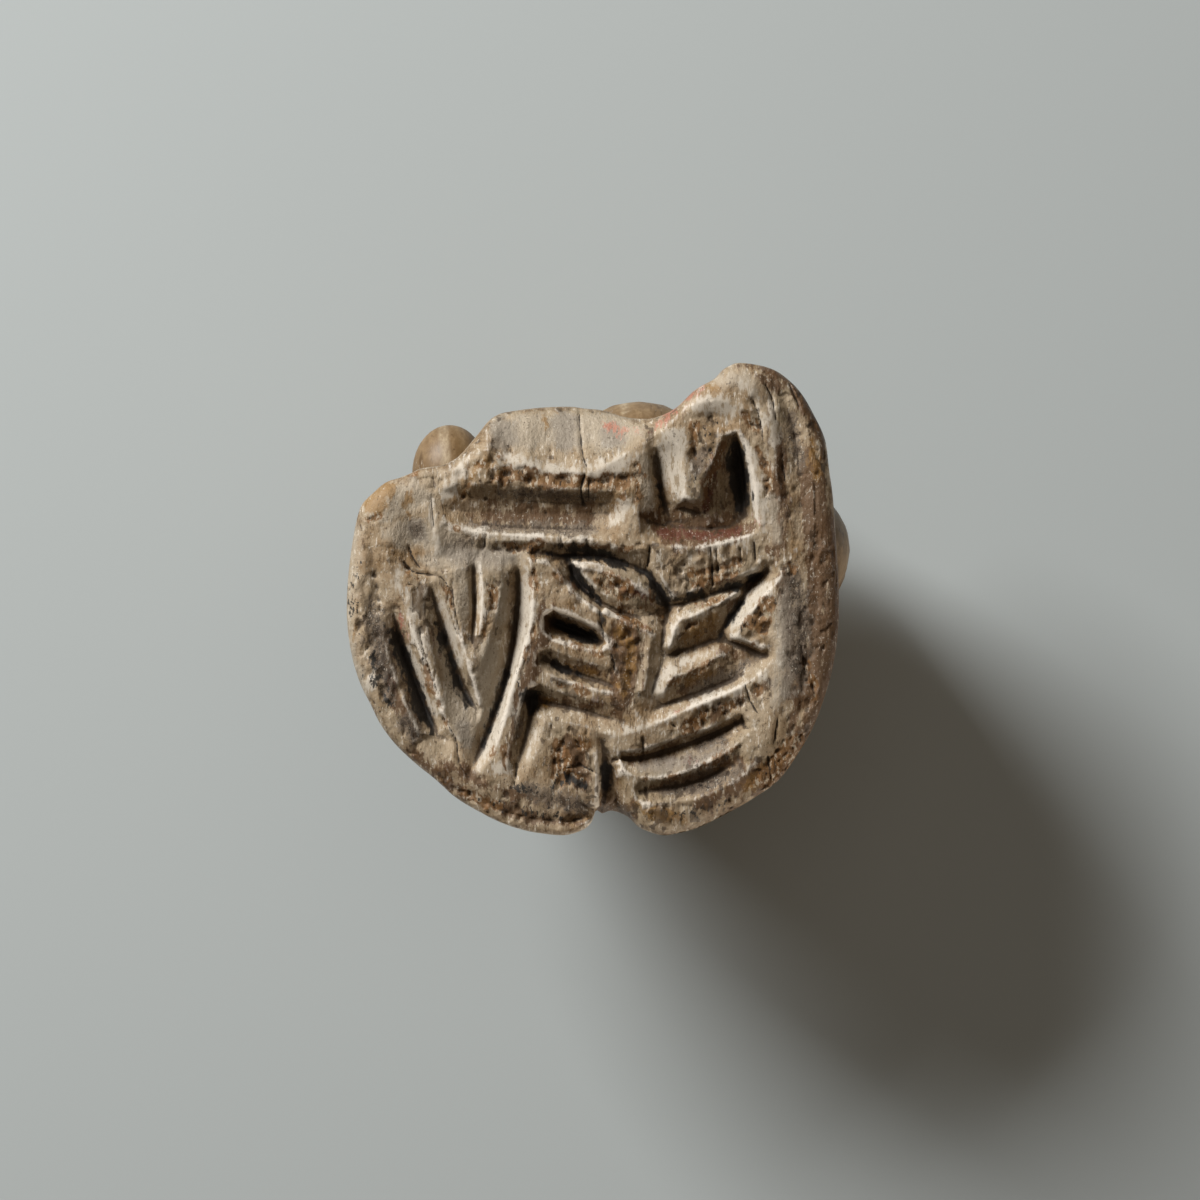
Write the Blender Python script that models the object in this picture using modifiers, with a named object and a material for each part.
"""A figural stamp seal carved from one piece of ivory.

One side is a worn, rounded face cut with deep gouge strokes. On the other side a small animal lies
with folded legs and its head turned aside. The seal lies on the animal's back, so the carved face
looks up: Z = 0 is the surface that it lies on, and X and Y run across the face.
"""

import bmesh
import bpy
from mathutils import Matrix, Vector
from mathutils.bvhtree import BVHTree

MM = 0.001

# Driving sizes, in metres
FACE_WIDTH = 20.0 * MM
PLATE_THICKNESS = 4.2 * MM
FIGURE_HEIGHT = 10.3 * MM
RIM_ROUND = 1.0 * MM
BACK_ROUND = 1.6 * MM
DEEPEST_CUT = 1.5 * MM
BREAK_WIDTH = 3.4 * MM
BREAK_DROP = 2.3 * MM
FLUTE_RADIUS = 1.2 * MM
FLUTE_BITE = 0.22 * MM
REST_FLAT_DEPTH = 0.45 * MM
INCISION_RADIUS = 0.36 * MM
EYE_RADIUS = 0.38 * MM

# Shape of a gouge stroke: how fast its ends thin, its thinnest end as a share of the full size, and
# the share of a wall's width at which its bend shows most
TAPER_CURVE = 0.6
THIN_END = 0.12
WALL_MIDDLE = 0.35
LINE_TAPERS = (0.3, 0.3)

# How far the cutters stand out of the surface that they cut
CUTTER_RISE = 0.3 * MM
CUTTER_FLARE = 1.12
BREAK_RISE = 1.0 * MM
BREAK_LIP = 0.1 * MM

# Fineness of the solid
SURFACE_GRAIN = 0.27 * MM
SMOOTHING_PASSES = 3
KEPT_SHARE = 0.11
CURVE_STEPS = 3
ROUND_SIDES = 2
LIMB_BALLS_PER_RADIUS = 3
WELD = 0.0001 * MM

FACE_LEVEL = FIGURE_HEIGHT + PLATE_THICKNESS

# Places below are drawn in millimetres on a seal with these two sizes
DRAWN_WIDTH = 20.0
DRAWN_FIGURE_HEIGHT = 10.75

# Edge of the face, clockwise from its highest point
OUTLINE = [
    (6.0, 9.6), (7.6, 9.2), (9.0, 7.5), (9.6, 5.3), (9.8, 3.5), (10.0, 0.0), (9.7, -2.8),
    (8.9, -5.3), (7.6, -7.3), (5.6, -8.6), (3.3, -9.5), (2.3, -9.5), (1.4, -9.0), (0.6, -8.8),
    (0.0, -9.0), (-0.5, -9.4), (-1.2, -9.6), (-3.0, -9.3), (-4.6, -8.6), (-6.4, -7.3), (-8.0, -5.9),
    (-9.0, -4.3), (-9.8, -2.4), (-10.0, 0.0), (-9.8, 2.4), (-9.3, 3.9), (-8.3, 4.8), (-7.0, 5.3),
    (-5.7, 5.7), (-4.9, 6.5), (-4.2, 7.4), (-3.4, 7.7), (-2.1, 7.9), (-0.6, 7.9), (0.7, 7.7),
    (1.9, 7.4), (3.1, 7.7), (4.0, 8.4), (4.9, 9.1),
]

# Line where the old break at the upper left begins, and the flutes across its slope
BREAK_LINE = [
    (-6.6, 5.2), (-5.0, 5.9), (-3.8, 5.8), (-1.9, 5.2), (-0.1, 5.1), (1.6, 6.1), (3.2, 7.3), (4.7, 9.4),
]
BREAK_FLUTES = [(-3.9, 5.9), (-2.3, 5.5), (-0.7, 5.3), (0.9, 5.8), (2.3, 6.8)]
FLUTE_RUN = 3.2

# Where a flute reaches its full radius along its run, and its radius at the ends as a share of that
FLUTE_SWELL = 0.3
FLUTE_RADII = [0.6, 1.0, 1.0]

# Nick in the lower edge, right through the plate
NICK = [(0.1, -8.4), (-0.5, -10.4), (1.0, -10.4)]

# Gouge strokes: the deepest line, the depth as a share of DEEPEST_CUT, the width and bend of the wall
# on the left and on the right of the line, and the share of the length that each end tapers over.
# A wall with a bend under 1 hollows towards the line, and one over 1 swells.
STROKES = {
    "trough": (
        [(-6.0, 3.6), (-4.6, 3.5), (0.3, 3.5), (1.6, 3.2)],
        0.63, (1.4, 1.1), (0.9, 0.8), (0.28, 0.12),
    ),
    "trough_tip": ([(-6.4, 3.4), (-5.8, 4.4), (-5.3, 5.5)], 0.27, (1.4, 0.6), (0.4, 1.0), (0.15, 0.3)),
    "left_ear": ([(3.0, 3.4), (2.8, 4.9), (2.6, 6.8)], 0.77, (0.9, 1.0), (1.05, 1.1), (0.05, 0.6)),
    "right_ear": ([(6.0, 3.0), (6.0, 4.9), (5.7, 7.0)], 1.0, (1.1, 1.2), (0.5, 1.0), (0.07, 0.45)),
    "ear_crown": ([(3.9, 7.0), (5.1, 7.3), (6.1, 7.1)], 0.2, (0.25, 1.0), (1.8, 0.5), (0.1, 0.1)),
    "shelf": ([(2.2, 3.1), (4.3, 3.1), (6.6, 3.4)], 0.53, (0.65, 1.0), (0.9, 0.8), (0.06, 0.06)),
    "brow": ([(3.0, -0.1), (4.3, 0.2), (5.8, 0.6), (7.2, 1.3)], 0.7, (1.8, 0.5), (0.5, 1.0), (0.04, 0.04)),
    "brow_hole": ([(6.4, 0.7), (7.2, 1.4)], 1.0, (0.35, 1.5), (0.35, 1.5), (0.3, 0.3)),
    "leaf_upper": (
        [(-1.7, 1.9), (0.3, 1.8), (1.6, 1.5), (2.4, 0.9), (3.0, -0.2)],
        0.53, (0.35, 1.0), (0.4, 0.8), (0.1, 0.05),
    ),
    "leaf_lower": (
        [(-1.1, 1.6), (-0.5, 0.8), (0.3, -0.1), (1.3, -0.7)],
        0.43, (0.4, 1.0), (0.5, 0.9), (0.15, 0.4),
    ),
    "pit": ([(-1.8, -0.9), (-0.7, -1.3), (0.3, -1.7)], 0.93, (0.45, 2.5), (0.45, 2.5), (0.05, 0.05)),
    "left_rib_1": (
        [(-1.9, -2.5), (-0.9, -2.9), (0.3, -3.2), (1.3, -3.4)],
        0.5, (0.35, 1.0), (0.5, 0.8), (0.06, 0.5),
    ),
    "left_rib_2": (
        [(-2.6, -4.0), (-1.3, -4.1), (0.3, -4.6), (1.9, -4.9)],
        0.5, (0.8, 0.7), (0.5, 0.8), (0.06, 0.4),
    ),
    "end_1": ([(2.5, -2.3), (2.9, -1.2), (3.1, -0.2)], 0.33, (0.5, 0.7), (0.3, 1.0), (0.2, 0.1)),
    "end_2": ([(1.9, -4.3), (2.5, -3.6), (2.9, -2.7)], 0.27, (0.55, 0.7), (0.4, 1.0), (0.3, 0.2)),
    "right_rib_1": (
        [(2.9, -2.3), (3.3, -1.9), (3.9, -1.6), (4.9, -1.4)],
        0.5, (0.9, 0.8), (1.05, 0.8), (0.1, 0.15),
    ),
    "cheek": (
        [(4.7, -1.7), (5.5, -0.8), (6.3, 0.1), (7.0, 1.0)],
        0.6, (1.05, 0.7), (0.45, 1.0), (0.1, 0.05),
    ),
    "block": ([(4.8, -1.7), (6.0, -1.9), (7.1, -2.4)], 0.43, (0.35, 1.0), (0.9, 0.7), (0.15, 0.3)),
    "right_rib_2": (
        [(2.2, -4.5), (3.5, -4.1), (4.8, -3.5), (6.0, -2.9), (7.1, -2.0)],
        0.53, (1.15, 0.8), (0.7, 0.8), (0.12, 0.1),
    ),
    "right_rib_3": (
        [(1.0, -6.4), (2.9, -6.1), (4.5, -5.6), (6.0, -4.9), (6.8, -4.4)],
        0.57, (1.2, 1.0), (1.0, 0.8), (0.08, 0.1),
    ),
    "right_rib_4": (
        [(1.7, -7.6), (3.5, -7.4), (4.9, -6.9), (6.2, -6.1), (6.7, -5.6)],
        0.4, (0.55, 1.0), (0.75, 0.7), (0.1, 0.2),
    ),
    "notch": ([(0.5, -9.9), (0.4, -7.5), (0.3, -5.6)], 1.0, (0.3, 1.0), (1.2, 0.8), (0.0, 0.4)),
    "stem": ([(-3.1, -7.0), (-2.6, -5.5), (-2.1, -3.8)], 0.47, (0.8, 0.7), (0.35, 1.0), (0.3, 0.1)),
    "flute_4": (
        [(-5.1, -7.0), (-4.5, -5.7), (-3.8, -3.7), (-3.2, -1.6), (-3.0, 1.4)],
        0.67, (1.55, 0.5), (0.5, 1.0), (0.25, 0.08),
    ),
    "flute_3": ([(-5.0, -2.0), (-4.7, -0.4), (-4.7, 1.7)], 0.5, (0.95, 0.5), (0.3, 1.0), (0.3, 0.1)),
    "flute_2": (
        [(-4.6, -4.6), (-5.3, -3.3), (-5.9, -1.6), (-6.4, 0.2)],
        0.63, (1.05, 0.5), (0.5, 1.0), (0.08, 0.3),
    ),
    "flute_1": (
        [(-6.3, -5.6), (-6.8, -4.1), (-7.6, -2.5), (-8.2, -1.1)],
        0.77, (0.65, 0.9), (0.35, 1.0), (0.12, 0.35),
    ),
    "ledge": ([(-7.5, 1.7), (-5.4, 1.9), (-2.5, 2.0)], 0.2, (0.35, 1.2), (1.05, 0.5), (0.2, 0.1)),
    "left_ledge": ([(-6.7, 1.9), (-6.6, 3.0), (-6.4, 4.0)], 0.17, (1.6, 0.4), (0.3, 1.0), (0.2, 0.2)),
    "left_band": ([(-8.6, -1.0), (-9.0, 1.0), (-9.1, 2.9)], 0.17, (0.35, 1.6), (0.35, 1.6), (0.3, 0.4)),
    "right_band": (
        [(8.4, 3.2), (8.3, 6.1), (8.0, 7.6), (7.5, 8.6)],
        0.3, (0.5, 0.8), (0.3, 1.0), (0.5, 0.3),
    ),
}

# Rounded masses of the animal: centre, then half sizes. Its back is at z = 0, its belly at the plate.
MASSES = {
    "trunk": ((0.8, 0.8, 5.3), (7.6, 5.2, 5.3)),
    "belly": ((0.6, 1.2, 8.9), (7.6, 5.6, 2.9)),
    "chest": ((-4.6, 0.4, 7.3), (3.1, 3.8, 3.9)),
    "rump": ((7.6, 2.1, 6.0), (3.15, 2.9, 3.7)),
    "near_haunch": ((4.3, -2.1, 6.9), (3.4, 2.6, 3.8)),
    "far_haunch": ((1.9, 4.9, 6.6), (3.4, 3.4, 3.6)),
    "far_shoulder": ((-3.4, 3.4, 7.2), (2.4, 2.6, 3.4)),
    "neck": ((-4.7, 2.2, 5.0), (2.6, 2.7, 3.1)),
    "skull": ((-5.5, 3.5, 4.1), (2.1, 2.4, 2.5)),
    "muzzle": ((-6.0, 5.3, 5.2), (1.55, 2.0, 1.6)),
    "near_cheek": ((-4.6, 4.3, 5.0), (1.1, 1.3, 1.4)),
    "far_cheek": ((-7.0, 3.9, 5.0), (1.0, 1.3, 1.4)),
}

# Limbs: start, end, and the radius at each
LIMBS = {
    "near_foreleg": ((-1.6, -3.8, 9.7), (-6.6, -2.0, 9.8), 1.45, 1.2),
    "far_foreleg": ((-1.0, 5.9, 9.6), (-5.0, 4.0, 9.7), 1.3, 1.1),
    "near_hind_leg": ((7.4, -3.1, 9.6), (1.9, -4.3, 9.8), 1.4, 1.15),
    "far_hind_leg": ((7.0, 5.0, 9.6), (2.4, 6.1, 9.7), 1.3, 1.1),
    "near_ear": ((-4.1, 2.7, 2.6), (-2.9, 3.0, 2.5), 0.85, 0.6),
    "far_ear": ((-6.9, 2.3, 2.9), (-7.9, 2.1, 3.5), 0.8, 0.6),
    "tail_root": ((9.9, 1.2, 5.2), (8.4, -1.9, 6.4), 0.75, 0.7),
    "tail_end": ((8.4, -1.9, 6.4), (4.4, -4.6, 6.4), 0.7, 0.65),
}

# Lines cut into the animal, drawn near its skin, and the width of each as a share of INCISION_RADIUS
INCISIONS = {
    "near_haunch_line": ([(1.7, -4.1, 9.0), (0.9, -3.9, 6.4), (1.5, -3.4, 4.2), (3.4, -3.3, 2.6)], 1.05),
    "near_shoulder_line": ([(-1.3, -3.9, 8.4), (-1.3, -3.6, 6.0), (-2.6, -2.7, 3.8)], 1.0),
    "far_haunch_line": ([(-1.2, 6.4, 8.6), (-1.5, 5.8, 6.0), (-0.8, 5.4, 4.0)], 1.0),
    "neck_fold": ([(-2.4, 1.4, 0.8), (-2.3, 3.6, 1.5), (-2.9, 5.0, 3.6)], 0.95),
    "mouth": ([(-7.4, 5.6, 5.8), (-6.0, 7.2, 5.7), (-4.6, 5.6, 5.8)], 0.6),
}

EYES = [(-4.2, 4.9, 3.4), (-7.2, 4.6, 3.6)]


def place(x, y, z=0.0):
    """A point of the face, drawn in millimetres, in metres. Z is already a real height."""
    share = FACE_WIDTH / DRAWN_WIDTH
    return Vector((x * share, y * share, z))


def place_figure(x, y, z):
    """A point of the animal, whose back dips under the surface that it lies on, to be cut flat there."""
    share = (FIGURE_HEIGHT + REST_FLAT_DEPTH) / DRAWN_FIGURE_HEIGHT
    return place(x, y, z * share - REST_FLAT_DEPTH)


def smooth_line(points):
    """Points along a Catmull-Rom curve through the given ones."""
    ends = [2 * points[0] - points[1], *points, 2 * points[-1] - points[-2]]
    line = []
    for a, b, c, d in zip(ends, ends[1:], ends[2:], ends[3:]):
        for step in range(CURVE_STEPS):
            t = step / CURVE_STEPS
            bend = (2 * a - 5 * b + 4 * c - d) * t**2 + (3 * b - a - 3 * c + d) * t**3
            line.append(0.5 * (2 * b + (c - a) * t + bend))
    return [*line, points[-1]]


def new_collection(name):
    collection = bpy.data.collections.new(name)
    bpy.context.scene.collection.children.link(collection)
    return collection


def poly_curve(name, points, closed=False, radii=None, flat=False):
    """A curve object with one straight-sided spline."""
    curve = bpy.data.curves.new(name, "CURVE")
    curve.dimensions = "2D" if flat else "3D"
    spline = curve.splines.new("POLY")
    spline.points.add(len(points) - 1)
    for index, point in enumerate(points):
        spline.points[index].co = (*point, 1.0)
        spline.points[index].radius = radii[index] if radii else 1.0
    spline.use_cyclic_u = closed
    curve_object = bpy.data.objects.new(name, curve)
    bpy.context.scene.collection.objects.link(curve_object)
    return curve_object


def remove_curve(curve_object):
    curve = curve_object.data
    bpy.data.objects.remove(curve_object)
    bpy.data.curves.remove(curve)


def solid_from_curve(curve_object, collection):
    """The curve's surface as a closed mesh object of the same name, in place of the curve."""
    bpy.context.view_layer.update()
    evaluated = curve_object.evaluated_get(bpy.context.evaluated_depsgraph_get())
    mesh = bpy.data.meshes.new_from_object(evaluated)
    form = bmesh.new()
    form.from_mesh(mesh)
    bmesh.ops.remove_doubles(form, verts=form.verts, dist=WELD)
    bmesh.ops.recalc_face_normals(form, faces=form.faces)
    form.to_mesh(mesh)
    form.free()
    name = curve_object.name
    matrix = curve_object.matrix_world.copy()
    remove_curve(curve_object)
    solid = bpy.data.objects.new(name, mesh)
    solid.matrix_world = matrix
    collection.objects.link(solid)
    return solid


def prism(name, outline, low, high, collection):
    """A flat outline between two heights."""
    middle = (low + high) / 2
    curve_object = poly_curve(name, [place(x, y) for x, y in outline], closed=True, flat=True)
    curve_object.location.z = middle
    curve_object.data.fill_mode = "BOTH"
    curve_object.data.extrude = high - middle
    return solid_from_curve(curve_object, collection)


def swept(name, line, radii, profile, collection):
    """The profile carried along a line on the face, scaled by the radius at each point."""
    path = poly_curve(name, line, radii=radii, flat=True)
    section = poly_curve(name + "_section", [(x, y, 0.0) for x, y in profile], closed=True, flat=True)
    path.data.bevel_mode = "OBJECT"
    path.data.bevel_object = section
    path.data.use_fill_caps = True
    solid = solid_from_curve(path, collection)
    remove_curve(section)
    return solid


def end_tapers(line, tapers):
    """The size of a stroke at each point of its line: full in the middle, thin at its ends."""
    lengths = [0.0]
    for a, b in zip(line, line[1:]):
        lengths.append(lengths[-1] + (b - a).length)
    sizes = []
    for length in lengths:
        share = length / lengths[-1]
        size = 1.0
        for taper, reach in zip(tapers, (share, 1 - share)):
            if taper:
                size *= min(1.0, reach / taper) ** TAPER_CURVE
        sizes.append(max(size, THIN_END))
    return sizes


def wall_points(width, bend, depth, side):
    """One wall of a cut, from above the face down to near its deepest line."""
    width = place(width, 0.0).x
    return [
        (side * width * CUTTER_FLARE, CUTTER_RISE),
        (side * width, 0.0),
        (side * width * WALL_MIDDLE, -depth * (1 - WALL_MIDDLE**bend)),
    ]


def cut_stroke(name, stroke, collection):
    points, depth_share, left, right, tapers = stroke
    depth = depth_share * DEEPEST_CUT
    line = smooth_line([place(x, y, FACE_LEVEL) for x, y in points])
    left_wall = wall_points(*left, depth, -1)
    right_wall = wall_points(*right, depth, 1)
    profile = [*left_wall, (0.0, -depth), *reversed(right_wall)]
    swept(name, line, end_tapers(line, tapers), profile, collection)


def cut_break(collection):
    """The old break: a slope down from BREAK_LINE, then shallow flutes across it."""
    line = smooth_line([place(x, y, FACE_LEVEL) for x, y in BREAK_LINE])
    slope = BREAK_DROP / BREAK_WIDTH
    profile = [
        (BREAK_LIP, BREAK_LIP * slope),
        (BREAK_LIP, BREAK_RISE),
        (-BREAK_WIDTH, BREAK_RISE),
        (-BREAK_WIDTH, -BREAK_DROP),
    ]
    swept("break_slope", line, [1.0] * len(line), profile, collection)
    for number, (x, y) in enumerate(BREAK_FLUTES):
        run = place(0.0, FLUTE_RUN).y
        start = place(x, y, FACE_LEVEL + FLUTE_RADIUS - FLUTE_BITE)
        end = start + Vector((0.0, run, -run * slope))
        line = [start, start.lerp(end, FLUTE_SWELL), end]
        flute = poly_curve(f"break_flute_{number}", line, radii=FLUTE_RADII)
        flute.data.bevel_depth = FLUTE_RADIUS
        flute.data.bevel_resolution = ROUND_SIDES
        flute.data.use_fill_caps = True
        solid_from_curve(flute, collection)


def cut_line(name, points, share, skin, collection):
    """A round groove along the animal's skin."""
    line = smooth_line([skin.find_nearest(place_figure(*point))[0] for point in points])
    groove = poly_curve(name, line, radii=end_tapers(line, LINE_TAPERS))
    groove.data.bevel_depth = INCISION_RADIUS * share
    groove.data.bevel_resolution = 1
    groove.data.use_fill_caps = True
    solid_from_curve(groove, collection)


def drill_eye(name, point, skin, collection):
    form = bmesh.new()
    ball(form, skin.find_nearest(place_figure(*point))[0], [EYE_RADIUS] * 3, fineness=2)
    mesh = bpy.data.meshes.new(name)
    form.to_mesh(mesh)
    form.free()
    collection.objects.link(bpy.data.objects.new(name, mesh))


def ball(form, centre, half_sizes, fineness=3):
    """A rounded mass added to the mesh under construction."""
    matrix = Matrix.Translation(centre) @ Matrix.Diagonal((*half_sizes, 1.0))
    bmesh.ops.create_icosphere(form, subdivisions=fineness, radius=1.0, matrix=matrix)


def limb(form, start, end, start_radius, end_radius):
    """Balls close enough together to read as one tapering limb."""
    start, end = place_figure(*start), place_figure(*end)
    start_radius, end_radius = place(start_radius, 0.0).x, place(end_radius, 0.0).x
    count = round(LIMB_BALLS_PER_RADIUS * (end - start).length / min(start_radius, end_radius))
    for step in range(count + 1):
        share = step / count
        radius = start_radius + (end_radius - start_radius) * share
        ball(form, start.lerp(end, share), [radius] * 3, fineness=2)


def slab(name, low, high, rim, collection):
    """The outline of the face between two heights, with both of its edges rounded."""
    curve = bpy.data.curves.new(name, "CURVE")
    curve.dimensions = "2D"
    curve.fill_mode = "BOTH"
    spline = curve.splines.new("BEZIER")
    spline.bezier_points.add(len(OUTLINE) - 1)
    for point, (x, y) in zip(spline.bezier_points, OUTLINE):
        point.co = place(x, y)
        point.handle_left_type = point.handle_right_type = "AUTO"
    spline.use_cyclic_u = True
    curve.resolution_u = CURVE_STEPS
    curve.extrude = (high - low) / 2 - rim
    curve.bevel_depth = rim
    curve.bevel_resolution = ROUND_SIDES
    curve.offset = -rim
    curve_object = bpy.data.objects.new(name, curve)
    curve_object.location.z = (low + high) / 2
    bpy.context.scene.collection.objects.link(curve_object)
    return solid_from_curve(curve_object, collection)


def model_blank(collection):
    """The plate and the animal as one uncut piece: two slabs, the lower one rounder, and the masses."""
    middle = FIGURE_HEIGHT + PLATE_THICKNESS / 2
    seal = slab("seal", middle - RIM_ROUND, FACE_LEVEL, RIM_ROUND, collection)
    under = slab("underside", FIGURE_HEIGHT, middle + BACK_ROUND, BACK_ROUND, collection)
    form = bmesh.new()
    for piece in (seal, under):
        piece.data.transform(piece.matrix_world)
        form.from_mesh(piece.data)
    seal.matrix_world = Matrix.Identity(4)
    bpy.data.objects.remove(under)
    for centre, half_sizes in MASSES.values():
        rise = place_figure(0.0, 0.0, half_sizes[2]).z + REST_FLAT_DEPTH
        sizes = place(half_sizes[0], half_sizes[1], rise)
        ball(form, place_figure(*centre), sizes)
    for ends_and_radii in LIMBS.values():
        limb(form, *ends_and_radii)
    form.to_mesh(seal.data)
    form.free()
    return seal


def fuse(seal):
    """Makes one skin of the overlapping masses and softens it, as handling has worn it."""
    skin = seal.modifiers.new("one_skin", "REMESH")
    skin.mode = "VOXEL"
    skin.voxel_size = SURFACE_GRAIN
    wear = seal.modifiers.new("wear", "SMOOTH")
    wear.iterations = SMOOTHING_PASSES
    fewer = seal.modifiers.new("fewer_faces", "DECIMATE")
    fewer.ratio = KEPT_SHARE


def carve(seal, cutters):
    """Takes every cutter out of the blank at once."""
    for cutter in cutters.objects:
        cutter.hide_render = True
        cutter.display_type = "WIRE"
    cut = seal.modifiers.new("carving", "BOOLEAN")
    cut.operation = "DIFFERENCE"
    cut.solver = "EXACT"
    cut.operand_type = "COLLECTION"
    cut.collection = cutters


def ivory():
    material = bpy.data.materials.new("aged_ivory")
    material.use_nodes = True
    shader = material.node_tree.nodes["Principled BSDF"]
    shader.inputs["Base Color"].default_value = (0.43, 0.35, 0.24, 1.0)
    shader.inputs["Roughness"].default_value = 0.5
    shader.inputs["Metallic"].default_value = 0.0
    return material


def main():
    for existing in list(bpy.data.objects):
        bpy.data.objects.remove(existing)
    parts = new_collection("figural_seal")
    cutters = new_collection("cutters")
    cut_break(cutters)
    for name, stroke in STROKES.items():
        cut_stroke(name, stroke, cutters)
    prism("nick", NICK, FIGURE_HEIGHT - RIM_ROUND, FACE_LEVEL + RIM_ROUND, cutters)
    reach = DRAWN_WIDTH
    ground = [(-reach, -reach), (reach, -reach), (reach, reach), (-reach, reach)]
    prism("rest_flat", ground, -FIGURE_HEIGHT, 0.0, cutters)

    seal = model_blank(parts)
    fuse(seal)
    bpy.context.view_layer.update()
    skin = BVHTree.FromObject(seal, bpy.context.evaluated_depsgraph_get())
    for name, (points, share) in INCISIONS.items():
        cut_line(name, points, share, skin, cutters)
    for number, point in enumerate(EYES):
        drill_eye(f"eye_{number}", point, skin, cutters)
    carve(seal, cutters)
    seal.data.materials.append(ivory())
    seal.data.shade_smooth()


main()
